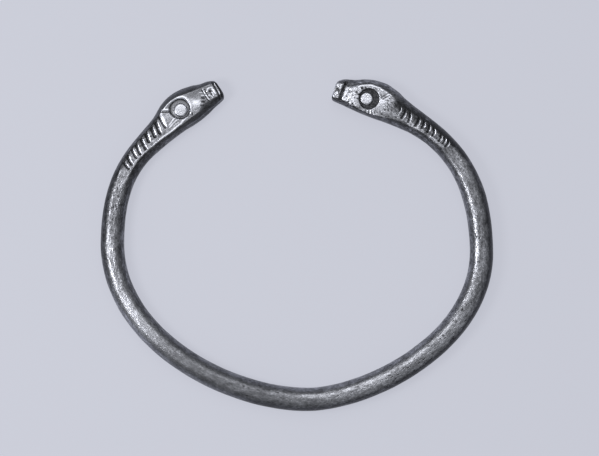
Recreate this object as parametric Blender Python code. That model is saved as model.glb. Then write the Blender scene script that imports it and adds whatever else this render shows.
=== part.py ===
"""An open silver bracelet: a round bar bent into a hoop, with an animal's head worked at each end.

The hoop lies flat. Its origin is the middle of its box on the surface that it lies on, +X is
across the hoop and +Y is towards the two heads. All sizes are in metres.
"""

import math

import bmesh
import bpy
from mathutils import Matrix, Vector

# The hoop and its bar
HOOP_WIDTH = 0.067
BAR_DIAMETER = 0.0040
BAR_FROM_TIP = 0.032
BAR_FLAT = 0.0006

# The heads, measured along the bar from the tip of the muzzle
MUZZLE_WIDTH = 0.0040
MUZZLE_THICKNESS = 0.0031
HEAD_WIDTH = 0.00645
HEAD_THICKNESS = 0.0038
HEAD_WIDEST_FROM_TIP = 0.0072
NECK_WIDTH = 0.00384
NECK_THICKNESS = 0.00384
NECK_FROM_TIP = 0.0225
TIP_CHAMFER = 0.0004

# The eyes: a round boss standing in a sunk ring
EYE_SOCKET_DIAMETER = 0.0034
EYE_BOSS_DIAMETER = 0.0021
EYE_DEPTH = 0.00045
EYE_TAPER = 0.00012

# The strokes cut across each neck
STROKES = 9
STROKE_SPACING = 0.0012
STROKE_WIDTH = 0.00036
STROKE_DEPTH = 0.00030
FIRST_STROKE_LENGTH = 0.0023
LAST_STROKE_LENGTH = 0.0014
HALF_GRAVER_POINT = 0.000018

# The groove behind each nose, the nostrils and the stop, where the crown dips behind the nose
NOSE_GROOVE_WIDTH = 0.00032
NOSE_GROOVE_DEPTH = 0.00026
NOSTRIL_DIAMETER = 0.0008
NOSTRIL_FLOOR_DIAMETER = 0.00054
NOSTRIL_DEPTH = 0.00030
STOP_FROM_TIP = 0.0033
STOP_LENGTH = 0.0020
STOP_DEPTH = 0.00020

# How finely the solid is faceted
QUARTER_STEPS = 5
EYE_STEPS = 24
HEAD_STEP = 0.0007
BAR_STEP = 0.0025
CURVE_STEPS = 60

# The bend, as shares of half the hoop's width. Each side runs in three curves from the back of
# the hoop: to where it is widest, to the neck and to the tip. A heading is in degrees above the
# line across the hoop. The pulls are how far each curve holds its heading, two for each curve.
BACK = (0.0515, -0.8337)
BENDS = {
    "left": {
        "across": -1,
        "widest": 0.014,
        "neck": (0.7230, 0.6365),
        "neck_heading": 47.6,
        "tip": (0.4176, 0.8469),
        "tip_heading": 27.2,
        "pulls": ((0.4209, 0.5227), (0.3995, 0.1646), (0.1032, 0.2983)),
    },
    "right": {
        "across": 1,
        "widest": -0.033,
        "neck": (0.5912, 0.7004),
        "neck_heading": 32.4,
        "tip": (0.2025, 0.8464),
        "tip_heading": 13.6,
        "pulls": ((0.3198, 0.5011), (0.5046, 0.1583), (0.2286, 0.2222)),
    },
}

# Where the carving of each head lies: how far back from the tip, and how far towards the crown.
# The strokes lean towards the tip at their crown end, by these degrees at the first and the last.
CARVING = {
    "left": {
        "eye": (0.00754, 0.00025),
        "nose_grooves": (0.0006, 0.0023),
        "nostril": (0.0015, 0.00020),
        "first_stroke": (0.0113, 0.00060),
        "stroke_leans": (28, 13),
    },
    "right": {
        "eye": (0.00612, -0.00036),
        "nose_grooves": (0.0013,),
        "nostril": (0.0007, -0.00045),
        "first_stroke": (0.0116, 0.00015),
        "stroke_leans": (3, 18),
    },
}

# The swell of a head, as shares: how far along the stretch, and how full. In front it goes from
# the tip to the widest place, and behind from the widest place to the neck.
FRONT_SWELL = ((0, 0), (0.14, 0.10), (0.33, 0.34), (0.53, 0.67), (0.72, 0.88), (1, 1))
REAR_SWELL = ((0, 1), (0.10, 0.93), (0.19, 0.74), (0.28, 0.51), (0.37, 0.34), (0.47, 0.20), (0.62, 0.07), (1, 0))

# The flat of each face, as a share of its width, at the tip of the muzzle and at the nape
MUZZLE_FLAT = 0.55
NAPE_FLAT = 0.45


def smooth(share):
    """Ease from 0 to 1 with no corner at either end."""
    share = min(max(share, 0.0), 1.0)
    return share * share * (3 - 2 * share)


def follow(points, x):
    """Read a smooth curve through the points, without overshoot between them."""
    gaps = [b[0] - a[0] for a, b in zip(points, points[1:])]
    rises = [(b[1] - a[1]) / gap for a, b, gap in zip(points, points[1:], gaps)]
    slopes = [rises[0]]
    for before, after in zip(rises, rises[1:]):
        slopes.append(2 * before * after / (before + after) if before * after > 0 else 0.0)
    slopes.append(0.0)
    for i, gap in enumerate(gaps):
        if x <= points[i + 1][0] or i == len(gaps) - 1:
            t = min(max((x - points[i][0]) / gap, 0.0), 1.0)
            lift = smooth(t)
            bow = gap * t * (1 - t) * (slopes[i] * (1 - t) - slopes[i + 1] * t)
            return points[i][1] * (1 - lift) + points[i + 1][1] * lift + bow


def bezier(start, start_pull, end_pull, end):
    """Points along one cubic curve, its start left out."""
    points = []
    for i in range(1, CURVE_STEPS + 1):
        t = i / CURVE_STEPS
        s = 1 - t
        points.append(s**3 * start + 3 * s * s * t * start_pull + 3 * s * t * t * end_pull + t**3 * end)
    return points


def bend_one_side(side):
    """The middle line of one side, from the tip of its muzzle to the back of the hoop."""
    bend = BENDS[side]
    across = bend["across"]
    half = (HOOP_WIDTH - BAR_DIAMETER) / 2

    def heading(degrees):
        angle = math.radians(degrees)
        return Vector((-across * math.cos(angle), math.sin(angle))) * half

    back = Vector(BACK) * half
    widest = Vector((across, bend["widest"])) * half
    neck = Vector((across * bend["neck"][0], bend["neck"][1])) * half
    tip = Vector((across * bend["tip"][0], bend["tip"][1])) * half
    outward = Vector((across, 0)) * half
    up = Vector((0, 1)) * half
    first, second, third = bend["pulls"]
    line = [back]
    line += bezier(back, back + outward * first[0], widest - up * first[1], widest)
    line += bezier(widest, widest + up * second[0], neck - heading(bend["neck_heading"]) * second[1], neck)
    line += bezier(
        neck,
        neck + heading(bend["neck_heading"]) * third[0],
        tip - heading(bend["tip_heading"]) * third[1],
        tip,
    )
    return line[::-1]


class MiddleLine:
    """The middle line of the whole bar, read by the distance from one of its tips."""

    def __init__(self):
        self.points = bend_one_side("left") + bend_one_side("right")[-2::-1]
        self.distances = [0.0]
        for a, b in zip(self.points, self.points[1:]):
            self.distances.append(self.distances[-1] + (b - a).length)
        self.length = self.distances[-1]

    def at(self, distance):
        """The point at a distance from the left tip."""
        i = 1
        while i < len(self.distances) - 1 and self.distances[i] < distance:
            i += 1
        span = self.distances[i] - self.distances[i - 1]
        share = (distance - self.distances[i - 1]) / span
        return self.points[i - 1].lerp(self.points[i], share)

    def outward(self, distance):
        """The direction from the inside of the hoop to its outside, where the crowns are."""
        reach = HEAD_STEP / 2
        near = max(distance - reach, 0.0)
        far = min(distance + reach, self.length)
        along = (self.at(far) - self.at(near)).normalized()
        return Vector((along.y, -along.x))

    def from_tip(self, side, back):
        """The distance from the left tip of a place that lies back from a side's own tip."""
        return back if side == "left" else self.length - back


def swell(back, at_tip, at_widest, at_neck, at_bar):
    """A width or thickness at a distance back from the tip, from its four named values."""
    if back < HEAD_WIDEST_FROM_TIP:
        full = follow(FRONT_SWELL, back / HEAD_WIDEST_FROM_TIP)
        return at_tip + (at_widest - at_tip) * full
    if back < NECK_FROM_TIP:
        full = follow(REAR_SWELL, (back - HEAD_WIDEST_FROM_TIP) / (NECK_FROM_TIP - HEAD_WIDEST_FROM_TIP))
        return at_neck + (at_widest - at_neck) * full
    share = smooth((back - NECK_FROM_TIP) / (BAR_FROM_TIP - NECK_FROM_TIP))
    return at_neck + (at_bar - at_neck) * share


def half_thickness(back):
    """Half the thickness of the bar or head, at a distance back from the tip."""
    return swell(back, MUZZLE_THICKNESS, HEAD_THICKNESS, NECK_THICKNESS, BAR_DIAMETER) / 2


def half_flat(back):
    """Half the width of the flat on the cheek, neck or bar."""
    half_width = swell(back, MUZZLE_WIDTH, HEAD_WIDTH, NECK_WIDTH, BAR_DIAMETER) / 2
    nape = (HEAD_WIDEST_FROM_TIP + NECK_FROM_TIP) / 2
    if back < nape:
        share = MUZZLE_FLAT + (NAPE_FLAT - MUZZLE_FLAT) * smooth(back / nape)
        return half_width * share
    share = smooth((back - nape) / (NECK_FROM_TIP - nape))
    return half_width * NAPE_FLAT * (1 - share) + BAR_FLAT / 2 * share


def cross_section(back):
    """The outline across the bar: flat above and below, with a rounded flank on each side.

    Each point gives how far it is towards the crown and how far above the middle.
    """
    chamfer = TIP_CHAMFER - min(back, TIP_CHAMFER)
    half_width = swell(back, MUZZLE_WIDTH, HEAD_WIDTH, NECK_WIDTH, BAR_DIAMETER) / 2 - chamfer
    height = half_thickness(back) - chamfer
    flat = half_flat(back)
    dip = STOP_DEPTH * smooth(1 - abs(back - STOP_FROM_TIP) / STOP_LENGTH)
    outline = []
    for way, reach in ((1, half_width - dip), (-1, half_width)):
        for i in range(2 * QUARTER_STEPS + 1):
            angle = way * (math.pi / 2) * (i / QUARTER_STEPS - 1)
            towards = flat + (reach - flat) * math.cos(angle)
            outline.append((way * towards, height * math.sin(angle)))
    return outline


def even_steps(start, end, step):
    """Even steps from start up to, and without, the end."""
    count = max(1, math.ceil((end - start) / step))
    return [start + (end - start) * i / count for i in range(count)]


def stations(line):
    """The distances from the left tip at which the bar gets a cross-section."""
    head = [0.0] + even_steps(TIP_CHAMFER, NECK_FROM_TIP, HEAD_STEP)
    bar = even_steps(NECK_FROM_TIP, line.length - NECK_FROM_TIP, BAR_STEP)
    other_head = [line.length - back for back in reversed(head)]
    return head + bar + [line.length - NECK_FROM_TIP] + other_head


def join_rings(mesh, ring, following):
    """Faces all round between two rings of as many points."""
    for i in range(len(ring)):
        mesh.faces.new((ring[i - 1], ring[i], following[i], following[i - 1]))


def bar_with_heads(line):
    """The bent bar as one closed body, its cross-sections joined one after another."""
    mesh = bmesh.new()
    rings = []
    for distance in stations(line):
        centre = line.at(distance)
        outward = line.outward(distance)
        ring = []
        for towards, above in cross_section(min(distance, line.length - distance)):
            place = centre + outward * towards
            ring.append(mesh.verts.new((place.x, place.y, above)))
        rings.append(ring)
    for ring, following in zip(rings, rings[1:]):
        join_rings(mesh, ring, following)
    mesh.faces.new(rings[0])
    mesh.faces.new(rings[-1])
    bmesh.ops.recalc_face_normals(mesh, faces=mesh.faces)
    return mesh


def carving_places(line, side, back, towards_crown, turn=0.0):
    """Where a cut lies, on the upper and on the under face of one head.

    A cut's own X runs towards the tip, turned towards the crown by the given angle, and its Z
    stands out of the face.
    """
    distance = line.from_tip(side, back)
    outward = line.outward(distance)
    across = BENDS[side]["across"]
    forward = Vector((-outward.y, outward.x)) * across
    centre = line.at(distance) + outward * towards_crown
    along = forward * math.cos(turn) + outward * math.sin(turn)
    for face in (1, -1):
        x_axis = Vector((along.x, along.y, 0))
        z_axis = Vector((0, 0, face))
        turned = Matrix((x_axis, z_axis.cross(x_axis), z_axis)).transposed().to_4x4()
        height = face * half_thickness(back)
        yield Matrix.Translation((centre.x, centre.y, height)) @ turned


def add_eye_ring(mesh, place):
    """A turned ring that sinks the socket and leaves the boss standing."""
    boss = EYE_BOSS_DIAMETER / 2
    socket = EYE_SOCKET_DIAMETER / 2
    profile = (
        (boss + EYE_TAPER, -EYE_DEPTH),
        (socket - EYE_TAPER, -EYE_DEPTH),
        (socket + EYE_TAPER, EYE_DEPTH),
        (boss - EYE_TAPER, EYE_DEPTH),
    )
    rings = []
    for i in range(EYE_STEPS):
        turn = Matrix.Rotation(math.tau * i / EYE_STEPS, 4, "Z")
        rings.append([mesh.verts.new(place @ turn @ Vector((x, 0, z))) for x, z in profile])
    for i in range(EYE_STEPS):
        join_rings(mesh, rings[i - 1], rings[i])


def add_stroke(mesh, place, length, width, depth):
    """A V-shaped cut with slanting ends, as a graver leaves."""
    made = bmesh.ops.create_cube(mesh, size=2)["verts"]
    for vert in made:
        if vert.co.z > 0:
            vert.co = Vector((vert.co.x * (length + width) / 2, vert.co.y * width, depth))
        else:
            vert.co = Vector((vert.co.x * (length - width) / 2, vert.co.y * HALF_GRAVER_POINT, -depth))
    bmesh.ops.transform(mesh, matrix=place, verts=made)


def add_nostril(mesh, place):
    """A round cut that narrows downwards."""
    made = bmesh.ops.create_cone(
        mesh,
        cap_ends=True,
        segments=EYE_STEPS // 2,
        radius1=NOSTRIL_FLOOR_DIAMETER / 2,
        radius2=NOSTRIL_DIAMETER - NOSTRIL_FLOOR_DIAMETER / 2,
        depth=2 * NOSTRIL_DEPTH,
    )["verts"]
    bmesh.ops.transform(mesh, matrix=place, verts=made)


def eyes(line):
    """The cutter for the eyes, on both faces of both heads."""
    mesh = bmesh.new()
    for side in BENDS:
        for place in carving_places(line, side, *CARVING[side]["eye"]):
            add_eye_ring(mesh, place)
    return mesh


def neck_strokes(line):
    """The cutter for the strokes, which shorten towards the bar."""
    mesh = bmesh.new()
    for side in BENDS:
        first, towards_crown = CARVING[side]["first_stroke"]
        first_lean, last_lean = CARVING[side]["stroke_leans"]
        for i in range(STROKES):
            share = i / max(STROKES - 1, 1)
            length = FIRST_STROKE_LENGTH + (LAST_STROKE_LENGTH - FIRST_STROKE_LENGTH) * share
            turn = math.radians(90 - first_lean - (last_lean - first_lean) * share)
            back = first + i * STROKE_SPACING
            for place in carving_places(line, side, back, towards_crown, turn):
                add_stroke(mesh, place, length, STROKE_WIDTH, STROKE_DEPTH)
    return mesh


def muzzle_cuts(line):
    """The cutter for the grooves across the muzzles and for the nostrils."""
    mesh = bmesh.new()
    for side in BENDS:
        for back in CARVING[side]["nose_grooves"]:
            for place in carving_places(line, side, back, 0, math.pi / 2):
                add_stroke(mesh, place, MUZZLE_WIDTH, NOSE_GROOVE_WIDTH, NOSE_GROOVE_DEPTH)
        for place in carving_places(line, side, *CARVING[side]["nostril"]):
            add_nostril(mesh, place)
    return mesh


def silver():
    """Old silver, grey with handling and darker where it is not rubbed."""
    material = bpy.data.materials.new("silver")
    material.use_nodes = True
    shader = material.node_tree.nodes["Principled BSDF"]
    shader.inputs["Base Color"].default_value = (0.40, 0.41, 0.45, 1)
    shader.inputs["Metallic"].default_value = 1.0
    shader.inputs["Roughness"].default_value = 0.38
    return material


def add_object(name, mesh, parent=None):
    """Put a finished mesh in the scene under its name."""
    data = bpy.data.meshes.new(name)
    bmesh.ops.recalc_face_normals(mesh, faces=mesh.faces)
    mesh.to_mesh(data)
    mesh.free()
    item = bpy.data.objects.new(name, data)
    bpy.context.scene.collection.objects.link(item)
    item.parent = parent
    return item


def cut(item, name, mesh):
    """Cut a mesh out of an object with a live Boolean."""
    cutter = add_object(name, mesh, parent=item)
    cutter.display_type = "WIRE"
    cutter.hide_render = True
    boolean = item.modifiers.new(name, "BOOLEAN")
    boolean.operation = "DIFFERENCE"
    boolean.solver = "EXACT"
    boolean.object = cutter


def build():
    """Model the bracelet."""
    for item in list(bpy.data.objects):
        bpy.data.objects.remove(item)
    line = MiddleLine()
    bracelet = add_object("bracelet", bar_with_heads(line))
    bracelet.data.materials.append(silver())
    bracelet.data.shade_smooth()
    bracelet.data.set_sharp_from_angle(angle=math.radians(30))
    xs = [vert.co.x for vert in bracelet.data.vertices]
    ys = [vert.co.y for vert in bracelet.data.vertices]
    resting_height = max(BAR_DIAMETER, HEAD_THICKNESS, MUZZLE_THICKNESS, NECK_THICKNESS) / 2
    bracelet.location = (-(min(xs) + max(xs)) / 2, -(min(ys) + max(ys)) / 2, resting_height)
    cut(bracelet, "eye_cutter", eyes(line))
    cut(bracelet, "stroke_cutter", neck_strokes(line))
    cut(bracelet, "muzzle_cutter", muzzle_cuts(line))


build()
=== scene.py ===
"""An old silver bracelet: an open hoop of round bar with an animal's head worked at each end."""

import math

import bmesh
import bpy
import numpy as np
from mathutils import Matrix, Vector, noise


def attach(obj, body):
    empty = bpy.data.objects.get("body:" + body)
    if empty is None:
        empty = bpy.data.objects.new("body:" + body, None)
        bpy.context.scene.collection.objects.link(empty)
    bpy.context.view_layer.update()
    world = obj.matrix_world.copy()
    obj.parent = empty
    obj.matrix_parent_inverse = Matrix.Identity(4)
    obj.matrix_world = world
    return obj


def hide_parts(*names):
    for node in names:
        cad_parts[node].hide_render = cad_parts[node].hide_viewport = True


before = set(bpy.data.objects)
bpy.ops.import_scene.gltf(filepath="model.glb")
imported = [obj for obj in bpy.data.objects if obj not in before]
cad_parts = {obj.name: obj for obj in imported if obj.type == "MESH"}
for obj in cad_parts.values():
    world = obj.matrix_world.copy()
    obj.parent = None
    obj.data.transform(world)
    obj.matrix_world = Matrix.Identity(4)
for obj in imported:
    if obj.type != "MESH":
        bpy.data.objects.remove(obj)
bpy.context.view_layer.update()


# The middle line of the bar
# The smith hammered one bar of silver round and bent it into an open hoop, 67 mm across, with its
# ends drawn in so that the two heads face each other over the gap. It is a little uneven, as
# handwork is: the left end stands steeper than the right. Sizes in this file are in millimetres.
HOOP_WIDTH = 67.0
BAR_DIAMETER = 4.0
HALF_HOOP = (HOOP_WIDTH - BAR_DIAMETER) / 2
MIDDLE_OF_BOX = (-0.0004, -0.1583)

# The bend of each side is in shares of half the hoop's width, and its headings are in degrees.
BACK_OF_HOOP = np.array((0.0515, -0.8337))
BENDS = {
    "left": {
        "across": -1,
        "widest": 0.014,
        "neck": (0.7230, 0.6365),
        "neck_heading": 47.6,
        "tip": (0.4176, 0.8469),
        "tip_heading": 27.2,
        "pulls": ((0.4209, 0.5227), (0.3995, 0.1646), (0.1032, 0.2983)),
    },
    "right": {
        "across": 1,
        "widest": -0.033,
        "neck": (0.5912, 0.7004),
        "neck_heading": 32.4,
        "tip": (0.2025, 0.8464),
        "tip_heading": 13.6,
        "pulls": ((0.3198, 0.5011), (0.5046, 0.1583), (0.2286, 0.2222)),
    },
}
CURVE_STEPS = 300


def curve_between(start, start_pull, end_pull, end):
    """Points along one cubic curve, its start left out."""
    t = np.linspace(0, 1, CURVE_STEPS + 1)[1:, None]
    s = 1 - t
    return s**3 * start + 3 * s * s * t * start_pull + 3 * s * t * t * end_pull + t**3 * end


def bend_one_side(side):
    """The middle line of one side, from the tip of its muzzle to the back of the hoop."""
    bend = BENDS[side]
    across = bend["across"]
    outward = np.array((across, 0))
    up = np.array((0, 1))

    def heading(degrees):
        angle = math.radians(degrees)
        return np.array((-across * math.cos(angle), math.sin(angle)))

    widest = np.array((across, bend["widest"]))
    neck = np.array((across * bend["neck"][0], bend["neck"][1]))
    tip = np.array((across * bend["tip"][0], bend["tip"][1]))
    to_neck = heading(bend["neck_heading"])
    to_tip = heading(bend["tip_heading"])
    first, second, third = bend["pulls"]
    line = np.vstack((
        BACK_OF_HOOP,
        curve_between(BACK_OF_HOOP, BACK_OF_HOOP + outward * first[0], widest - up * first[1], widest),
        curve_between(widest, widest + up * second[0], neck - to_neck * second[1], neck),
        curve_between(neck, neck + to_neck * third[0], tip - to_tip * third[1], tip),
    ))
    return line[::-1] * HALF_HOOP


middle_line = np.vstack((bend_one_side("left"), bend_one_side("right")[-2::-1]))
steps_along = np.hypot(*np.diff(middle_line, axis=0).T)
distance_along = np.concatenate(((0,), np.cumsum(steps_along)))
bar_length = distance_along[-1]


# The blank
# A straight round rod, as long as the bracelet is along its middle, of solid silver. The ends are
# left with more metal to work: here they get the finer mesh, finest on the upper face. The rod's
# radius is 1 until the heads and the bar get their widths.
AROUND = 56
HEAD_LENGTH = 10.4
NECK_END = 22.4
HEAD_RING = 0.10
NECK_RING = 0.082
BAR_RING = 0.33
TIP_RINGS = 5
TIP_INSET = 0.85

# Places this close count as one.
CLOSE = 0.001

blank = bmesh.new()
bmesh.ops.create_cone(
    blank,
    cap_ends=True,
    cap_tris=False,
    segments=AROUND,
    radius1=1,
    radius2=1,
    depth=bar_length,
)
bmesh.ops.rotate(blank, verts=blank.verts, cent=(0, 0, 0), matrix=Matrix.Rotation(math.pi / 2, 3, "Y"))
bmesh.ops.translate(blank, verts=blank.verts, vec=(bar_length / 2, 0, 0))


def edges_along(mesh, start, end):
    """The edges that run along the rod within one stretch of it."""
    found = []
    for edge in mesh.edges:
        a, b = sorted(vert.co.x for vert in edge.verts)
        if b - a > CLOSE and a > start - CLOSE and b < end + CLOSE:
            found.append(edge)
    return found


def edges_around(mesh, start, end, upper):
    """The edges that run round the rod within one stretch, on its upper or its under half."""
    found = []
    for edge in mesh.edges:
        a, b = (vert.co for vert in edge.verts)
        level = (a.z + b.z) / 2
        round_it = abs(a.x - b.x) < CLOSE and start - CLOSE < a.x < end + CLOSE
        if round_it and (level > 0) == upper:
            found.append(edge)
    return found


def end_cap(mesh, end):
    """The many-sided face that closes one end of the rod."""
    found = []
    for face in mesh.faces:
        if abs(face.calc_center_median().x - end) < CLOSE and len(face.verts) > 4:
            found.append(face)
    return found


stretches = (
    (0, HEAD_LENGTH, HEAD_RING),
    (HEAD_LENGTH, NECK_END, NECK_RING),
    (NECK_END, bar_length - NECK_END, BAR_RING),
    (bar_length - NECK_END, bar_length - HEAD_LENGTH, NECK_RING),
    (bar_length - HEAD_LENGTH, bar_length, HEAD_RING),
)
for stretch in stretches[1:]:
    bmesh.ops.bisect_plane(
        blank,
        geom=blank.verts[:] + blank.edges[:] + blank.faces[:],
        plane_co=(stretch[0], 0, 0),
        plane_no=(1, 0, 0),
    )
for start, end, ring in stretches:
    cuts = round((end - start) / ring) - 1
    bmesh.ops.subdivide_edges(blank, edges=edges_along(blank, start, end), cuts=cuts, use_grid_fill=True)
for start, end in ((0, NECK_END), (bar_length - NECK_END, bar_length)):
    for upper, cuts in ((True, 2), (False, 1)):
        bmesh.ops.subdivide_edges(
            blank,
            edges=edges_around(blank, start, end, upper),
            cuts=cuts,
            use_grid_fill=True,
        )
for end in (0, bar_length):
    for ring in range(TIP_RINGS):
        cap = end_cap(blank, end)
        bmesh.ops.inset_individual(blank, faces=cap, thickness=TIP_INSET / TIP_RINGS, depth=0)
    bmesh.ops.poke(blank, faces=end_cap(blank, end))

rod = np.array([vert.co for vert in blank.verts])
along = rod[:, 0]
fullness = np.minimum(np.hypot(rod[:, 1], rod[:, 2]), 1)
fullness = np.where((along < CLOSE) | (along > bar_length - CLOSE), fullness, 1)
turn = np.arctan2(rod[:, 2], rod[:, 1])


# The two heads
# Each end was hammered flat and broad for a head, seen from the side: a square muzzle, a broad
# cheek and a neck that thins into the bar. Each row is a distance back from the tip and a half
# width there, to the crown, to the jaw, and to both edges of the flat of the cheek.
HEADS = {
    "left": {
        "crown": (
            (0, 1.66), (0.5, 1.92), (1, 2.1), (1.7, 2.26), (2.4, 2.32), (3.1, 2.49), (3.8, 2.74), (4.5, 2.9),
            (5.9, 3.16), (7.2, 3.24), (8, 3.2), (9, 3.02), (10.1, 2.76), (11.5, 2.5), (13, 2.36), (15, 2.2),
            (17, 2.08), (19, 2.01), (22, 1.96), (26, 1.96), (32, 2),
        ),
        "jaw": (
            (0, 1.74), (0.5, 1.96), (1, 2.1), (1.7, 2.25), (2.4, 2.43), (3.1, 2.66), (3.8, 2.86), (4.5, 3),
            (5.9, 3.22), (7.2, 3.27), (8, 3.22), (9, 3.12), (10.1, 2.96), (11.5, 2.62), (13, 2.36),
            (15, 2.19), (17, 2.05), (19, 1.98), (22, 1.95), (26, 1.97), (32, 2),
        ),
        "flat_to_crown": (
            (0, 1.2), (1.2, 1.45), (2.9, 1.67), (4.7, 1.82), (5.9, 2.04), (7.2, 2.3), (8.5, 2.28), (9.6, 2.1),
            (10.7, 1.78), (12, 1.64), (14, 1.5), (16.6, 1.38), (18.7, 1.32), (21, 1.2), (25, 0.6), (30, 0.3),
        ),
        "flat_to_jaw": (
            (0, 0.85), (1.2, 0.95), (2.7, 0.96), (4, 1.06), (4.9, 1.8), (7, 2.04), (8.6, 2.1), (10.4, 1.8),
            (11.5, 1.6), (12.6, 1.36), (13.7, 1.18), (15.3, 1), (16.6, 0.88), (18.3, 0.74), (20, 0.7),
            (22, 0.68), (26, 0.45), (30, 0.3),
        ),
    },
    "right": {
        "crown": (
            (0, 1.42), (0.35, 1.72), (0.85, 1.97), (1.7, 2.18), (2.4, 2.28), (3.1, 2.37), (3.8, 2.54),
            (4.5, 2.76), (5.9, 3.03), (7.2, 3.15), (8, 3.19), (9, 3.04), (10.1, 2.88), (11.5, 2.52),
            (13, 2.3), (15, 2.11), (17, 1.98), (19, 1.93), (22, 1.9), (26, 1.95), (32, 2),
        ),
        "jaw": (
            (0, 1.84), (0.4, 1.98), (1, 2.12), (1.7, 2.25), (2.4, 2.41), (3.1, 2.58), (3.8, 2.74), (4.5, 2.9),
            (5.9, 3.12), (7.2, 3.18), (8, 3.17), (9, 3.06), (10.1, 2.88), (11.5, 2.64), (13, 2.4), (15, 2.1),
            (17, 1.97), (19, 1.9), (22, 1.91), (26, 1.95), (32, 2),
        ),
        "flat_to_crown": (
            (0, 0.9), (0.7, 1.15), (1.5, 1.15), (2.1, 0.8), (2.7, 0.62), (3.4, 1), (4.2, 1.5), (5.2, 1.9),
            (6.1, 2.1), (7, 2.05), (8, 1.92), (9.2, 1.7), (10.3, 1.3), (11.2, 0.9), (13, 0.9), (17, 0.95),
            (21, 0.8), (25, 0.45), (30, 0.3),
        ),
        "flat_to_jaw": (
            (0, 1.35), (1.6, 1.52), (2.6, 1.6), (3.2, 1.92), (4.7, 2.4), (7, 2.74), (9.5, 2.4), (11.5, 1.7),
            (12.6, 1.42), (13.7, 1.27), (15, 1.14), (16.1, 1.02), (17.3, 0.92), (20, 0.92), (22, 0.8),
            (25, 0.5), (30, 0.3),
        ),
    },
}
HALF_THICKNESS = (
    (0, 1.52), (0.6, 1.57), (2, 1.68), (4, 1.82), (7.2, 1.9), (12, 1.9), (22, 1.92), (32, 2),
)
SHOULDER_TILT = 30
TIP_ROUNDING = 0.3
ROUND_BAR_STARTS = 20
ROUND_BAR_EASES_IN = 6

# The muzzles are not cut off square: each row is a place across the muzzle, from the jaw to the
# crown, and how far back its end stands there.
MUZZLE_ENDS = {
    "left": (
        (-2.2, 0.26), (-1.9, 0.06), (-1.5, -0.12), (-0.9, -0.2), (-0.2, -0.17), (0.7, -0.07),
        (1.5, 0.03), (1.9, 0.12),
    ),
    "right": ((-2.2, 0), (-1.6, -0.12), (-0.9, -0.08), (0, -0.02), (1, 0.04), (1.5, 0.14), (1.9, 0.3)),
}
MUZZLE_LENGTH = 1.5


def smooth(share):
    """Ease from 0 to 1 with no corner at either end."""
    share = np.clip(share, 0, 1)
    return share * share * (3 - 2 * share)


def read_profile(rows, x):
    """Read a smooth line through the rows, without overshoot between them."""
    places, values = np.array(rows).T
    rises = np.diff(values) / np.diff(places)
    product = rises[1:] * rises[:-1]
    total = rises[1:] + rises[:-1]
    inner = np.where(product > 0, 2 * product / np.where(total == 0, 1, total), 0)
    slopes = np.concatenate(((rises[0],), inner, (0,)))
    row = np.clip(np.searchsorted(places, x) - 1, 0, len(places) - 2)
    gap = places[row + 1] - places[row]
    t = np.clip((x - places[row]) / gap, 0, 1)
    lift = smooth(t)
    bow = gap * t * (1 - t) * (slopes[row] * (1 - t) - slopes[row + 1] * t)
    return values[row] * (1 - lift) + values[row + 1] * lift + bow


on_left = along < bar_length / 2
back = np.where(on_left, along, bar_length - along)
width = {}
for name in ("crown", "jaw", "flat_to_crown", "flat_to_jaw"):
    left_width = read_profile(HEADS["left"][name], back)
    right_width = read_profile(HEADS["right"][name], back)
    width[name] = np.where(on_left, left_width, right_width)
height = read_profile(HALF_THICKNESS, back)
on_bar = smooth((back - ROUND_BAR_STARTS) / ROUND_BAR_EASES_IN)
shoulder = math.radians(SHOULDER_TILT) * (1 - on_bar)
short_of_tip = np.clip(1 - back / TIP_ROUNDING, 0, 1)
rounding = TIP_ROUNDING * (1 - np.sqrt(1 - short_of_tip**2))


def flank(reach, tall, share):
    """Across and up on one flank, and which way it faces there, from its foot to its shoulder."""
    tilt = math.pi / 2 - share * (math.pi / 2 - shoulder)
    first = np.sin(shoulder)
    across = reach * (np.sin(tilt) - first) / (1 - first)
    up = tall * np.cos(tilt) / np.cos(shoulder)
    facing_out = tall * np.sin(tilt) / np.cos(shoulder)
    facing_up = reach * np.cos(tilt) / (1 - first)
    return across, up, facing_out, facing_up


# Each half turn of a section rises up the crown's flank, crosses the flat and goes down the jaw's.
# The carving is laid over the shoulders, so a place on a flank counts as a little further out.
ARC_OVER_CHORD = 1.11
LAID_OVER_SHOULDER = 0.6
upper = np.sin(turn) >= 0
half_turn = np.abs(turn) / math.pi
crown_flank = width["crown"] - width["flat_to_crown"]
jaw_flank = width["jaw"] - width["flat_to_jaw"]
flat = width["flat_to_crown"] + width["flat_to_jaw"]
crown_arc = np.hypot(crown_flank, height) * ARC_OVER_CHORD
jaw_arc = np.hypot(jaw_flank, height) * ARC_OVER_CHORD
crown_share = crown_arc / (crown_arc + flat + jaw_arc)
jaw_share = jaw_arc / (crown_arc + flat + jaw_arc)
up_crown = np.clip(half_turn / crown_share, 0, 1)
up_jaw = np.clip((1 - half_turn) / jaw_share, 0, 1)
across_flat = np.clip((half_turn - crown_share) / (1 - crown_share - jaw_share), 0, 1)
crown_across, crown_rise, crown_out, crown_up = flank(crown_flank, height, up_crown)
jaw_across, jaw_rise, jaw_out, jaw_up = flank(jaw_flank, height, up_jaw)
towards_crown = width["flat_to_crown"] - flat * across_flat + crown_across - jaw_across
rise = np.minimum(crown_rise, jaw_rise)
slant = np.where(up_crown < 1, crown_out, np.where(up_jaw < 1, -jaw_out, 0))
level = np.where(up_crown < 1, crown_up, np.where(up_jaw < 1, jaw_up, 1))
slant, level = slant / np.hypot(slant, level), level / np.hypot(slant, level)
over_face = towards_crown + LAID_OVER_SHOULDER * (height - rise) * np.sign(slant)

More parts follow.
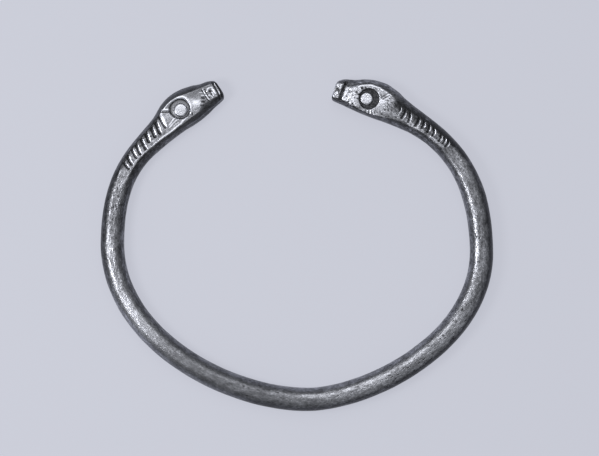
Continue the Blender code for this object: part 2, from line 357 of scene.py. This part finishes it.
# The ends of the muzzles move with the rows above, and their pull dies out behind them.
muzzle_pull = np.zeros(len(along))
for side in MUZZLE_ENDS:
    places, values = np.array(MUZZLE_ENDS[side]).T
    pull = np.interp(towards_crown * fullness, places, values) * (1 - smooth(back / MUZZLE_LENGTH))
    muzzle_pull = np.where(on_left == (side == "left"), pull, muzzle_pull)
back_on_face = back + muzzle_pull


# The carving
# The eyes, the brows, the muzzles and the strokes down the necks were cut and punched into the
# finished heads. Places are millimetres back from the tip and towards the crown. Hands and cloths
# have rubbed the high places bright, and tarnish is left in the cuts. The strokes and the eye sockets
# also carry painted light: a painted highlight on the stroke walls that face the lamp on the left, and
# painted shade on the stroke walls that face away and in the sockets.

# Each eye is a round socket with a boss left standing in it. Its last value is how dark the socket
# floor is painted: tarnish in the hollow, with painted shade where the boss and the wall cast shadow,
# most on the right eye.
EYES = {
    "left": {"place": (7.54, 0.25), "radius": 1.74, "boss": (7.56, 0.06), "boss_radius": 1.06, "carving_tarnish_and_painted_shade": 0.1},
    "right": {"place": (6.12, -0.36), "radius": 1.76, "boss": (5.7, -0.44), "boss_radius": 1.04, "carving_tarnish_and_painted_shade": 1.2},
}
SOCKET_DEPTH = 0.34
WALL = 0.12
CARVED_DOWN_FLANK = 1.6

# Each row is the crown end and the jaw end of a stroke, how far its steep wall and its lower wall
# reach, and its depth. The lower walls all face the left of the hoop, where the lamp is, and are painted
# bright, a painted highlight; the steep walls face away and are painted dark, painted shade. The
# strokes are bowed a little, by this much at the middle.
STROKE_BOW = 0.15
STROKES = {
    "left": (
        ((10.6, 1.85), (11.6, -0.45), 0.26, 0.36, 0.2),
        ((11.6, 1.75), (12.95, -0.45), 0.46, 0.4, 0.3),
        ((12.9, 1.5), (13.95, -0.3), 0.42, 0.42, 0.28),
        ((14.2, 1.5), (15.3, -0.15), 0.44, 0.44, 0.28),
        ((15.45, 1.5), (16.5, -0.55), 0.36, 0.36, 0.25),
        ((16.7, 1.4), (17.85, -0.5), 0.34, 0.36, 0.25),
        ((17.75, 1.45), (18.75, -0.3), 0.28, 0.34, 0.24),
        ((19, 1.35), (20.15, -0.35), 0.32, 0.34, 0.24),
        ((20.1, 1.35), (21.05, -0.25), 0.3, 0.34, 0.24),
    ),
    "right": (
        ((11.55, 0.85), (11.75, -0.1), 0.16, 0.26, 0.14),
        ((12.6, 0.9), (12.6, -0.9), 0.2, 0.4, 0.22),
        ((13.45, 1.05), (13.95, -0.9), 0.2, 0.36, 0.2),
        ((15.3, 1.1), (15.3, -0.8), 0.3, 0.44, 0.28),
        ((16.25, 1.05), (16.45, -0.5), 0.28, 0.4, 0.25),
        ((17.25, 1.1), (17.65, -0.5), 0.22, 0.36, 0.22),
        ((18.15, 1.1), (18.8, -0.45), 0.22, 0.36, 0.22),
        ((19.8, 1.0), (20.15, -0.45), 0.22, 0.34, 0.2),
        ((20.55, 1.15), (20.95, -0.25), 0.18, 0.3, 0.18),
        ((21.3, 1.3), (21.65, -0.3), 0.22, 0.34, 0.2),
    ),
}

# Each row is the points of a groove, half its width and its depth. The underside gets only those that
# are this deep or deeper.
ON_BOTH_FACES = 0.2
GROOVES = {
    "left": (
        (((0.68, 1.9), (0.57, 0.75), (0.54, -0.12), (0.6, -1.05), (0.82, -1.8)), 0.17, 0.22),
        (((0.17, 1.5), (0.13, 0.52), (0.09, -0.17), (0.18, -1), (0.3, -1.5)), 0.09, 0.08),
        (((2.75, 1.2), (2.72, 0.6), (2.68, 0), (2.62, -0.6), (2.5, -1.1)), 0.1, 0.08),
        (((2.28, 1), (2.3, 0.3), (2.2, -0.5)), 0.1, 0.07),
        (((3.72, -1.3), (4.15, -1.05)), 0.14, 0.1),
        (((3.2, -0.85), (3.65, -0.6)), 0.14, 0.12),
        (((3.0, -0.25), (3.4, 0)), 0.14, 0.1),
        (((9.95, 1.8), (9.55, 1.35), (9.2, 0.9)), 0.11, 0.1),
        (((6, -1.5), (6.3, -1.75)), 0.12, 0.08),
    ),
    "right": (
        (((1.72, 1.7), (1.5, 0.9), (1.48, 0.3), (1.36, -0.4), (1.3, -1), (1.35, -1.45)), 0.31, 0.36),
        (((0.19, -0.39), (0.23, 0.06), (0.5, 0.23), (0.83, 0.02), (0.92, -0.5)), 0.14, 0.18),
        (((0.06, -1.62), (0.75, -1.52), (1.3, -1.55)), 0.14, 0.16),
        (((8.0, 0.35), (8.43, 1.19), (8.9, 1.8)), 0.1, 0.1),
        (((8.35, 0.4), (8.8, 1.08), (9.15, 1.5)), 0.1, 0.1),
        (((6.15, -2.25), (6.5, -2.75)), 0.1, 0.1),
        (((6.85, -2.25), (7, -2.75)), 0.1, 0.1),
        (((7.4, -2.1), (7.75, -2.6)), 0.1, 0.1),
        (((2.5, -0.1), (3.05, 0.22)), 0.12, 0.1),
        (((9.6, -0.3), (10.3, -0.9)), 0.1, 0.05),
        (((9.3, 0.2), (10.1, -0.2)), 0.1, 0.05),
    ),
}

# Each row is the points of a ridge, half its width, its height and how bright it is rubbed.
RIDGES = {
    "left": (
        (
            (
                (9.15, 2.0), (8.1, 2.2), (7.1, 2.1), (6.15, 1.75), (5.74, 1.14), (5.67, 0.3),
                (5.9, -0.5), (6.25, -1.2),
            ),
            0.22,
            0.06,
            1.3,
        ),
        (((9.7, 2.1), (9.3, 1.65), (8.9, 1.2)), 0.13, 0.04, 1),
        (
            ((2.05, 0.6), (1.78, 0.88), (1.36, 0.93), (1.08, 0.69), (0.95, 0.22), (0.9, -0.45)),
            0.17,
            0.06,
            1.3,
        ),
        (((2.5, 1.35), (2.52, 0.64), (2.45, 0), (2.38, -0.6), (2.25, -1.05)), 0.1, 0.04, 0.7),
        (((3.25, 0.95), (2.85, 0.75), (2.5, 0.45)), 0.1, 0.04, 0.7),
        (((3.2, 0.35), (2.85, 0.2), (2.5, -0.05)), 0.12, 0.04, 0.8),
        (((2.1, -0.1), (1.8, -0.3), (1.75, -0.75)), 0.12, 0.04, 0.9),
        (((1.45, 0.05), (1.3, -0.2), (1.4, -0.6)), 0.12, 0.05, 0.9),
        (((0.4, 1.45), (0.35, 0.71), (0.31, 0), (0.35, -0.74), (0.5, -1.45)), 0.06, 0.03, 0.5),
        (((0.08, 1.5), (-0.02, 0.5), (-0.08, -0.4), (0.04, -1.5)), 0.3, 0, -1),
        (((10.9, 1.7), (13, 1.5), (15, 1.35), (18, 1.25), (21.5, 1.2)), 0.35, 0, -0.6),
        (
            (
                (7.4, -1.6), (9.15, -1.84), (10.4, -1.68), (11.5, -1.48), (12.6, -1.22), (13.7, -1.02),
                (15.3, -0.84),
            ),
            0.2,
            0.04,
            0.9,
        ),
        (((15.3, -0.84), (16.6, -0.68), (18.3, -0.48), (20, -0.42)), 0.2, 0.03, 0.4),
        (((10.2, 1.75), (10.55, 0.9), (10.9, 0.2), (11.2, -0.3)), 0.14, 0.03, 0.9),
        (((9.2, -0.4), (9.9, -0.5), (10.7, -0.55)), 0.15, 0.03, 0.8),
        (((8.9, -0.95), (9.9, -0.9), (10.9, -0.85)), 0.14, 0.03, 0.7),
        (((9.3, -1.45), (10.4, -1.15)), 0.12, 0.03, 0.6),
        (
            (
                (0.3, -2.2), (1, -2.3), (2.15, -2.58), (3.2, -2.8), (4.3, -3), (5.7, -3.25),
                (7, -3.25), (8.5, -3.2),
            ),
            0.14,
            0,
            0.5,
        ),
    ),
    "right": (
        (
            (
                (2.3, 0.6), (3.4, 1.1), (4.4, 1.52), (5.4, 1.79), (6.3, 1.88), (7.3, 1.79),
                (8.2, 1.65), (9.2, 1.37),
            ),
            0.3,
            0.03,
            1.2,
        ),
        (((1.0, 0.5), (1.02, 0.8), (1.15, 1.05), (1.38, 1.3)), 0.14, 0.05, 1.2),
        (((0.45, -0.85), (0.72, -0.72), (0.7, -0.4), (0.5, -0.25)), 0.12, 0.06, 0.9),
        (((1.8, -1.3), (2.05, -0.6), (2.25, 0.1)), 0.18, 0.04, 0.9),
        (((2.1, -1.45), (2.6, -1), (3, -0.8)), 0.15, 0.03, 0.7),
        (((6.4, -2.35), (6.7, -2.75)), 0.1, 0.04, 1),
        (((7.15, -2.2), (7.4, -2.7)), 0.1, 0.04, 1),
        (((11.9, 0.2), (12.1, -0.6)), 0.14, 0.03, 0.9),
        (((18.6, -0.6), (19.4, -0.55), (20.5, -0.6), (21.6, -0.5)), 0.25, 0.03, 0.8),
        (((10.9, 0.9), (13, 0.7), (15, 0.75), (18, 0.9), (20, 1), (22, 1.2)), 0.65, 0, -0.7),
        (((11.5, -0.95), (13, -0.85), (15, -0.7), (17, -0.55)), 0.35, 0, 0.5),
    ),
}

# Each row is the middle of a swelling or a hollow, its radius, its height and how bright it is.
SWELLINGS = {
    "left": (
        ((1.6, 0.35), 0.24, -0.1, 0),
        ((1.65, -0.2), 0.2, -0.08, 0),
        ((4.7, -0.7), 1.25, 0.07, 0.9),
        ((5.2, 0.5), 0.7, 0.02, 0.3),
        ((9.6, 0.3), 0.9, 0.02, 0.4),
        ((8.2, -1.9), 0.9, 0, 0.2),
    ),
    "right": (
        ((0.55, -0.15), 0.26, -0.14, 0),
        ((0.1, -1.14), 0.2, 0.09, 1.2),
        ((0.3, -1.5), 0.16, 0.04, 0.6),
        ((0.75, 0.75), 0.45, 0.05, 0.2),
        ((3.3, -0.7), 1.5, 0.04, 0.6),
        ((9, -0.3), 1.4, 0.04, 0.6),
        ((4.6, 1.13), 0.28, -0.12, 0),
        ((5.2, 1.4), 0.18, -0.08, 0),
        ((3.55, -1.75), 0.24, -0.1, 0),
        ((3.85, -2.2), 0.2, -0.08, 0),
        ((2.82, -1.54), 0.2, -0.08, 0),
        ((3.9, 0.3), 0.24, -0.1, 0),
        ((3.75, -0.65), 0.2, -0.08, 0),
        ((4.2, -0.75), 0.2, -0.08, 0),
        ((3.3, -0.35), 0.18, -0.08, 0),
        ((2.5, 0.35), 0.2, -0.08, 0),
        ((3.2, 0.75), 0.18, -0.08, 0),
        ((2.3, -0.75), 0.16, -0.06, 0),
    ),
}


def line_gap(points, u, v):
    """How far each place is from a line."""
    gap = np.full(len(u), np.inf)
    for a, b in zip(points, points[1:]):
        step = (b[0] - a[0], b[1] - a[1])
        t = ((u - a[0]) * step[0] + (v - a[1]) * step[1]) / (step[0] ** 2 + step[1] ** 2)
        t = np.clip(t, 0, 1)
        gap = np.minimum(gap, np.hypot(u - a[0] - t * step[0], v - a[1] - t * step[1]))
    return gap


def cut_stroke(u, v, crown_end, jaw_end, steep, lamp_facing, lamp_facing_first):
    """A punch's cut, its steep wall narrowing to the foot.

    It gives how deep the cut is, as a share, how far down its walls each place is, and how much of
    the painted highlight on the wall that faces the lamp each place gets.
    """
    step = np.array(jaw_end) - np.array(crown_end)
    length = np.hypot(*step)
    t = ((u - crown_end[0]) * step[0] + (v - crown_end[1]) * step[1]) / length**2
    bow = STROKE_BOW * (1 - (2 * t - 1) ** 2)
    sideways = ((u - crown_end[0]) * step[1] - (v - crown_end[1]) * step[0]) / length + bow
    towards_lamp_facing = sideways if lamp_facing_first else -sideways
    widening = smooth(t / 0.6)
    steep_reach = steep * (1.5 - 0.8 * widening)
    lamp_facing_reach = lamp_facing * (0.4 + 0.7 * widening)
    reach = np.where(towards_lamp_facing > 0, lamp_facing_reach, steep_reach)
    ends = smooth((1.1 - np.abs(2 * t - 1)) / 0.35)
    down_wall = np.clip(1 - np.abs(sideways) / reach, 0, 1)
    fall = np.where(towards_lamp_facing > 0, down_wall**2, down_wall) * ends
    painted_highlight_length = smooth(t / 0.25) * smooth((0.9 - t) / 0.3)
    on_highlighted_wall = np.where((towards_lamp_facing > 0) & (down_wall > 0), painted_highlight_length, 0)
    return fall, down_wall * ends, on_highlighted_wall


# The carving's raising, its rubbing with painted highlights, and its tarnish with painted shade.
lift = np.zeros(len(along))
carving_rubbed_and_painted_highlight = np.zeros(len(along))
carving_tarnish_and_painted_shade = np.zeros(len(along))
for side in HEADS:
    here = np.flatnonzero((on_left == (side == "left")) & (back < NECK_END + 2))
    u = back_on_face[here]
    v = over_face[here]
    finished = np.where(upper[here], 1.0, 0.0)
    raised = np.zeros(len(here))
    rubbed_and_painted_highlight = np.zeros(len(here))
    cut_tarnish_and_painted_shade = np.zeros(len(here))

    for points, half_width, tall, rubbed in RIDGES[side]:
        gap = line_gap(points, u, v)
        bump = np.exp(-((gap / (0.6 * half_width)) ** 2)) * finished
        raised += tall * bump
        rubbed_and_painted_highlight += rubbed * smooth(1.4 - gap / half_width) * finished
    for middle, radius, tall, rubbed in SWELLINGS[side]:
        gap = np.hypot(u - middle[0], v - middle[1])
        bump = smooth(1 - gap / radius)
        raised += tall * bump * finished
        rubbed_and_painted_highlight += rubbed * smooth(1.3 - gap / radius) * finished
        if tall < 0:
            cut_tarnish_and_painted_shade += 1.1 * smooth(1.2 - gap / radius) * finished
    for points, half_width, deep in GROOVES[side]:
        gap = line_gap(points, u, v)
        both_faces = finished if deep < ON_BOTH_FACES else 1.0
        raised -= deep * np.clip(1 - gap / half_width, 0, 1) * both_faces
        cut_tarnish_and_painted_shade += smooth(1.1 - gap / half_width) * both_faces
    for crown_end, jaw_end, steep, lamp_facing, deep in STROKES[side]:
        fall, share, on_highlighted_wall = cut_stroke(u, v, crown_end, jaw_end, steep, lamp_facing, side == "left")
        raised -= deep * fall
        # The wall that faces the lamp gets a painted highlight, and the steep wall that faces away gets
        # painted shade; the foot of each cut keeps its tarnish.
        rubbed_and_painted_highlight += 1.7 * on_highlighted_wall * smooth(share / 0.15) * smooth((0.9 - share) / 0.3)
        cut_tarnish_and_painted_shade += np.where(on_highlighted_wall > 0, smooth((share - 0.8) / 0.15), 1.2 * smooth(share * 1.8))

    eye = EYES[side]
    from_eye = np.hypot(u - eye["place"][0], v - eye["place"][1])
    from_boss = np.hypot(u - eye["boss"][0], v - eye["boss"][1])
    inside = 1 - smooth((from_eye - eye["radius"] + WALL / 2) / WALL)
    boss = 1 - smooth((from_boss - eye["boss_radius"] + WALL / 2) / WALL)
    raised = raised * (1 - inside) - SOCKET_DEPTH * inside * (1 - boss)
    rubbed_and_painted_highlight = rubbed_and_painted_highlight * (1 - inside) + 1.25 * boss
    cut_tarnish_and_painted_shade = cut_tarnish_and_painted_shade * (1 - inside) + eye["carving_tarnish_and_painted_shade"] * inside * (1 - boss)
    # A dark ring painted at the foot of the socket wall: painted shade.
    corner = np.exp(-(((from_eye - eye["radius"] + 0.1) / 0.16) ** 2))
    cut_tarnish_and_painted_shade += 0.9 * corner * inside * (1 - boss)

    keep = np.clip(level[here] * height[here] * CARVED_DOWN_FLANK, 0, 1)
    lift[here] = raised * keep
    carving_rubbed_and_painted_highlight[here] = rubbed_and_painted_highlight * keep
    carving_tarnish_and_painted_shade[here] = cut_tarnish_and_painted_shade * keep


# The hammered surface
# The bar was never quite even: it keeps long shallow facets from the hammer, shorter ones and small
# dents. The heads were worked smoother and keep less of them.
FACET_HEIGHT = 0.035
SMALL_FACET_HEIGHT = 0.03
DENT_DEPTH = 0.014
HAMMERED_ON_HEADS = 0.35
RESTING_LEVEL = 0.985


def unevenness(stretch, size, seed):
    """A smooth wandering value for each place on the rod, between about -1 and 1."""
    offset = Vector((seed, seed * 0.37, seed * 0.71))
    places = np.column_stack((along / stretch, rod[:, 1] * 2 / size, rod[:, 2] * 2 / size))
    return np.array([noise.noise(Vector(place) + offset) for place in places])


hammered = FACET_HEIGHT * unevenness(9, 2.6, 11) + SMALL_FACET_HEIGHT * unevenness(3.2, 1.8, 23)
dented = DENT_DEPTH * unevenness(0.9, 0.9, 31)
lift += hammered * (HAMMERED_ON_HEADS + (1 - HAMMERED_ON_HEADS) * on_bar) + dented

# Nothing stands out below the flat that the bracelet lies on.
resting = (~upper) & (rise > height * RESTING_LEVEL)
lift = np.where(resting, np.minimum(lift, 0), lift)

towards_crown = towards_crown + slant * (lift - rounding)
rise = rise + level * (lift - rounding)
towards_crown = towards_crown * fullness
rise = rise * fullness * np.where(upper, 1, -1)


# The bend
# The finished straight bar is bent along the middle line, the crowns of the heads outwards. Wear has
# rubbed it brightest low on both sides and on the right head, and it is dullest round the back on the
# left. Each row is a distance from the left tip and how bright the metal is there. On top that is wear;
# down the flanks it is wear with painted light: a painted highlight on the flank that faces the lamp on
# the left, and painted shade on the flank that faces away.
RUBBED_ON_TOP = (
    (0, 0.52), (4, 0.44), (8, 0.54), (11, 0.56), (16, 0.5), (21, 0.5), (28, 0.45), (40, 0.5), (49, 0.76),
    (57, 0.4), (74, 0.42), (82, 0.54), (90, 0.66), (108, 0.66), (118, 0.5), (128, 0.44), (138, 0.5),
    (146, 0.38), (152, 0.32), (154.5, 0.5), (156.5, 0.74), (161, 0.6), (164.2, 0.68),
)
WEAR_AND_PAINTED_LIGHT_OUTSIDE = (
    (0, 0.18), (8, 0.16), (14, 0.2), (24, 0.02), (34, 0.06), (48, 0.48), (58, 0.32), (66, 0.28),
    (74, 0.06), (90, 0), (104, -0.08), (126, -0.16), (134, -0.06), (150, 0.04), (156, 0.32), (164.2, 0.28),
)
WEAR_AND_PAINTED_LIGHT_INSIDE = (
    (0, 0.06), (10, 0.14), (24, 0.08), (34, 0.18), (46, 0.2), (74, 0.3), (84, 0.36), (96, 0.36),
    (120, 0.34), (138, 0.3), (146, 0.2), (152, 0.2), (156, 0.16), (164.2, 0.14),
)

# On the right a narrow line along the inner side, where the lamp on the left puts its highlight, is
# painted brighter still: a painted highlight. Its level says how far the metal faces up there: 1 is
# straight up and 0 is sideways.
PAINTED_HIGHLIGHT_LINE = ((92, 0), (104, 0.08), (116, 0.25), (132, 0.22), (140, 0.35), (148, 0))
LINE_LEVEL = 0.87
LINE_WIDTH = 0.06

# Where the flank's darkening starts and where the rubbed top does, as such levels. The dark flank is
# tarnish with painted shade, standing in for the dark that the flanks reflect. The darkening reaches
# higher on the heads.
TARNISH_AND_PAINTED_SHADE_BELOW = 0.66
HIGHER_ON_HEADS = 0.2
RUBBED_ABOVE = 0.97

# How much the carving's own rubbing and tarnish, with their painted highlights and painted shade,
# count beside that, and the most that each can be.
CARVING_RUBBED_AND_HIGHLIGHT = 0.5
CARVING_TARNISH_AND_SHADE = 0.6
MOST_RUBBED_AND_HIGHLIGHT = 1.3
MOST_TARNISH_AND_SHADE = 1.2

# How mottled and pitted the metal is, on the left head, round the bar and on the right head.
PITTED = (
    (0, 0.6), (8, 0.3), (14, 0.8), (22, 0.9), (50, 0.85), (60, 0.6), (74, 0.6), (86, 0.8), (114, 0.9),
    (142, 0.9), (148, 1.3), (154, 0.8), (157, 0.8), (160, 1.4), (164.2, 1.3),
)

# Pits and patches are drawn out into streaks along the bar, this many times as long as they are wide.
STREAK_LENGTH = 2.2
HEADING_REACH = 0.35
METRES = 0.001


def along_middle_line(distance):
    """The places on the middle line at these distances from the left tip."""
    x = np.interp(distance, distance_along, middle_line[:, 0])
    y = np.interp(distance, distance_along, middle_line[:, 1])
    return np.column_stack((x, y))


ahead = along_middle_line(np.clip(along + HEADING_REACH, 0, bar_length))
behind = along_middle_line(np.clip(along - HEADING_REACH, 0, bar_length))
heading = ahead - behind
heading = heading / np.hypot(heading[:, 0], heading[:, 1])[:, None]
outward = np.column_stack((heading[:, 1], -heading[:, 0]))
pull = np.where(on_left, muzzle_pull, -muzzle_pull)
across_bar = along_middle_line(along) + pull[:, None] * heading + towards_crown[:, None] * outward
bent = np.column_stack((across_bar + MIDDLE_OF_BOX, rise + BAR_DIAMETER / 2))
bent[:, 2] = np.maximum(bent[:, 2], 0)
# Flanks are darkened by how far they face sideways: tarnish, and painted shade for what they reflect.
tarnish_and_shade_below = TARNISH_AND_PAINTED_SHADE_BELOW + HIGHER_ON_HEADS * (1 - on_bar)
facing_up = smooth((level - tarnish_and_shade_below) / (RUBBED_ABOVE - tarnish_and_shade_below))
# Down the flanks: wear, with a painted highlight on the side facing the lamp and painted shade on the side
# facing away.
on_flank = np.where(slant > 0, read_profile(WEAR_AND_PAINTED_LIGHT_OUTSIDE, along), read_profile(WEAR_AND_PAINTED_LIGHT_INSIDE, along))
rubbed_and_painted_light = facing_up * read_profile(RUBBED_ON_TOP, along) + (1 - facing_up) * on_flank
# The painted highlight line along the right bar's inner side.
on_painted_highlight_line = np.where(upper & (slant < 0), np.exp(-(((level - LINE_LEVEL) / LINE_WIDTH) ** 2)), 0)
rubbed_and_painted_light += on_painted_highlight_line * read_profile(PAINTED_HIGHLIGHT_LINE, along)
unbent = np.column_stack((along / STREAK_LENGTH, towards_crown, rise))
pitted = read_profile(PITTED, along)
# Two attributes: wear with painted highlights and painted shade, and the carving's tarnish with painted
# shade.
rubbed_and_painted_light_layer = blank.verts.layers.float.new("rubbed")
tarnish_and_painted_shade_layer = blank.verts.layers.float.new("tarnish_and_painted_shade")
pitted_layer = blank.verts.layers.float.new("pitted")
unbent_layer = blank.verts.layers.float_vector.new("unbent")
for vert, place, straight, wear_and_painted_light, rubbed_and_painted_highlight, cut_tarnish_and_painted_shade, pits in zip(
    blank.verts, bent, unbent, rubbed_and_painted_light, carving_rubbed_and_painted_highlight, carving_tarnish_and_painted_shade, pitted
):
    vert.co = place * METRES
    vert[unbent_layer] = straight * METRES
    vert[rubbed_and_painted_light_layer] = wear_and_painted_light + CARVING_RUBBED_AND_HIGHLIGHT * min(rubbed_and_painted_highlight, MOST_RUBBED_AND_HIGHLIGHT)
    vert[tarnish_and_painted_shade_layer] = CARVING_TARNISH_AND_SHADE * min(cut_tarnish_and_painted_shade, MOST_TARNISH_AND_SHADE)
    vert[pitted_layer] = pits
bmesh.ops.remove_doubles(blank, verts=blank.verts, dist=1e-7)
bmesh.ops.recalc_face_normals(blank, faces=blank.faces)

bracelet_mesh = bpy.data.meshes.new("silver_bracelet")
blank.to_mesh(bracelet_mesh)
blank.free()
bracelet = bpy.data.objects.new("silver_bracelet", bracelet_mesh)
bpy.context.scene.collection.objects.link(bracelet)
bracelet_mesh.shade_smooth()


# The metal
# Old silver: rubbed bright where hands reach, grey and pitted on top of the bar, and dark with
# tarnish down the flanks and in the cuts. Its colour also carries painted light: painted highlights on
# the sides and stroke walls that face the lamp, and painted shade down the flanks, in the eye sockets
# and on the stroke walls that face away.

# Each row is how bright the metal is, by rubbing and by painted light, and the grey that it has there.
GREYS = ((0.0, 0.06), (0.25, 0.14), (0.5, 0.28), (0.75, 0.55), (1.0, 0.92))
HUE = (0.965, 0.985, 1.08)
ROUGH_TARNISHED = 0.44
ROUGH_RUBBED = 0.22
RELIEF = 0.00006


def old_silver():
    """The silver's finish, from where it is rubbed and where it is cut, with the painted light those places
    carry.
    """
    material = bpy.data.materials.new("silver")
    material.use_nodes = True
    nodes = material.node_tree.nodes
    links = material.node_tree.links
    shader = nodes["Principled BSDF"]
    shader.inputs["Metallic"].default_value = 1.0

    def node(kind, **values):
        made = nodes.new(kind)
        for name, value in values.items():
            if name in made.bl_rna.properties:
                setattr(made, name, value)
            else:
                made.inputs[name.replace("_", " ")].default_value = value
        return made

    def maths(operation, first, second):
        made = nodes.new("ShaderNodeMath")
        made.operation = operation
        for socket, value in zip(made.inputs, (first, second)):
            if isinstance(value, (int, float)):
                socket.default_value = value
            else:
                links.new(value, socket)
        return made.outputs[0]

    def spread(value, low, high, to_low=0.0, to_high=1.0):
        made = nodes.new("ShaderNodeMapRange")
        made.interpolation_type = "SMOOTHSTEP"
        links.new(value, made.inputs["Value"])
        for name, number in (("From Min", low), ("From Max", high), ("To Min", to_low), ("To Max", to_high)):
            made.inputs[name].default_value = number
        return made.outputs[0]

    place = node("ShaderNodeAttribute", attribute_name="unbent").outputs["Vector"]

    def grain(scale, detail, roughness=0.6):
        made = node("ShaderNodeTexNoise", Scale=scale, Detail=detail, Roughness=roughness)
        links.new(place, made.inputs["Vector"])
        return made.outputs["Fac"]

    # These attributes carry wear and tarnish together with painted highlights and painted shade.
    rubbed = node("ShaderNodeAttribute", attribute_name="rubbed").outputs["Fac"]
    tarnish_and_painted_shade = node("ShaderNodeAttribute", attribute_name="tarnish_and_painted_shade").outputs["Fac"]
    pitted = node("ShaderNodeAttribute", attribute_name="pitted").outputs["Fac"]

    patches = grain(260, 3)
    mottle = grain(1300, 5, 0.7)
    speckle = grain(5200, 3)
    pit_cells = node("ShaderNodeTexVoronoi", Scale=2300, Randomness=1.0)
    links.new(place, pit_cells.inputs["Vector"])
    pit_holes = spread(pit_cells.outputs["Distance"], 0.16, 0.34, 1.0, 0.0)
    pits = maths("MULTIPLY", pit_holes, spread(patches, 0.46, 0.62))

    uneven = maths("MULTIPLY", maths("SUBTRACT", mottle, 0.5), 1.5)
    uneven = maths("ADD", uneven, maths("MULTIPLY", maths("SUBTRACT", speckle, 0.5), 0.8))
    uneven = maths("SUBTRACT", uneven, maths("MULTIPLY", pits, 0.45))
    wear_and_painted_light = maths("ADD", rubbed, maths("MULTIPLY", uneven, pitted))
    wear_and_painted_light = maths("ADD", wear_and_painted_light, 0.05)
    wear_and_painted_light = maths("SUBTRACT", wear_and_painted_light, tarnish_and_painted_shade)

    colours = nodes.new("ShaderNodeValToRGB")
    ramp = colours.color_ramp
    for i, (position, value) in enumerate(GREYS):
        step = ramp.elements[i] if i < 2 else ramp.elements.new(1)
        step.position = position
        step.color = (value * HUE[0], value * HUE[1], value * HUE[2], 1)
    links.new(wear_and_painted_light, colours.inputs["Fac"])
    links.new(colours.outputs["Color"], shader.inputs["Base Color"])
    links.new(spread(wear_and_painted_light, 0.1, 1.0, ROUGH_TARNISHED, ROUGH_RUBBED), shader.inputs["Roughness"])

    surface = maths("ADD", maths("MULTIPLY", mottle, 0.9), maths("MULTIPLY", speckle, 0.4))
    surface = maths("SUBTRACT", surface, maths("MULTIPLY", pits, 0.7))
    surface = maths("MULTIPLY", surface, pitted)
    bump = node("ShaderNodeBump", Strength=1.0, Distance=RELIEF)
    links.new(surface, bump.inputs["Height"])
    links.new(bump.outputs["Normal"], shader.inputs["Normal"])
    return material


bracelet_mesh.materials.append(old_silver())
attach(bracelet, "root")
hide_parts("bracelet")


# The studio
# The bracelet lies on a sheet of pale grey paper, lit softly from above and a little harder from
# the left, and the camera looks straight down on it.
SHEET = 1.6
sheet_mesh = bpy.data.meshes.new("paper_sheet")
paper = bmesh.new()
bmesh.ops.create_grid(paper, x_segments=8, y_segments=8, size=SHEET / 2)
paper.to_mesh(sheet_mesh)
paper.free()
sheet = bpy.data.objects.new("paper_sheet", sheet_mesh)
bpy.context.scene.collection.objects.link(sheet)
paper_finish = bpy.data.materials.new("paper")
paper_finish.use_nodes = True
paper_shader = paper_finish.node_tree.nodes["Principled BSDF"]
paper_shader.inputs["Base Color"].default_value = (0.19, 0.195, 0.21, 1)
paper_shader.inputs["Emission Color"].default_value = (0.86, 0.88, 1.0, 1)
paper_shader.inputs["Emission Strength"].default_value = 0.56
paper_shader.inputs["Roughness"].default_value = 0.9
paper_shader.inputs["Specular IOR Level"].default_value = 0.1
sheet_mesh.materials.append(paper_finish)

world = bpy.data.worlds.new("studio")
bpy.context.scene.world = world
world.use_nodes = True
world.node_tree.nodes["Background"].inputs["Color"].default_value = (0.96, 0.98, 1, 1)
world.node_tree.nodes["Background"].inputs["Strength"].default_value = 0.26


def soft_light(name, azimuth, elevation, distance, size, radiance):
    """A square soft light that faces the bracelet."""
    data = bpy.data.lights.new(name, "AREA")
    data.size = size
    data.energy = radiance * math.pi * size * size
    light = bpy.data.objects.new(name, data)
    bpy.context.scene.collection.objects.link(light)
    a = math.radians(azimuth)
    e = math.radians(elevation)
    direction = Vector((math.cos(a) * math.cos(e), math.sin(a) * math.cos(e), math.sin(e)))
    light.location = direction * distance
    light.rotation_mode = "QUATERNION"
    light.rotation_quaternion = direction.to_track_quat("Z", "Y")
    light.visible_camera = False


soft_light("key", azimuth=184, elevation=57, distance=0.22, size=0.072, radiance=7.4)
soft_light("overhead", azimuth=97, elevation=66, distance=0.9, size=0.62, radiance=1.05)

VIEW_WIDTH = 0.10230
VIEW_CENTRE = (0.000436, 0.002852)
camera_data = bpy.data.cameras.new("camera")
camera_data.lens = 150
camera_data.sensor_width = 36
camera = bpy.data.objects.new("camera", camera_data)
bpy.context.scene.collection.objects.link(camera)
height_over_bar = VIEW_WIDTH * camera_data.lens / camera_data.sensor_width
camera.location = (VIEW_CENTRE[0], VIEW_CENTRE[1], BAR_DIAMETER / 2000 + height_over_bar)
bpy.context.scene.camera = camera
bpy.context.scene.view_settings.view_transform = "Standard"
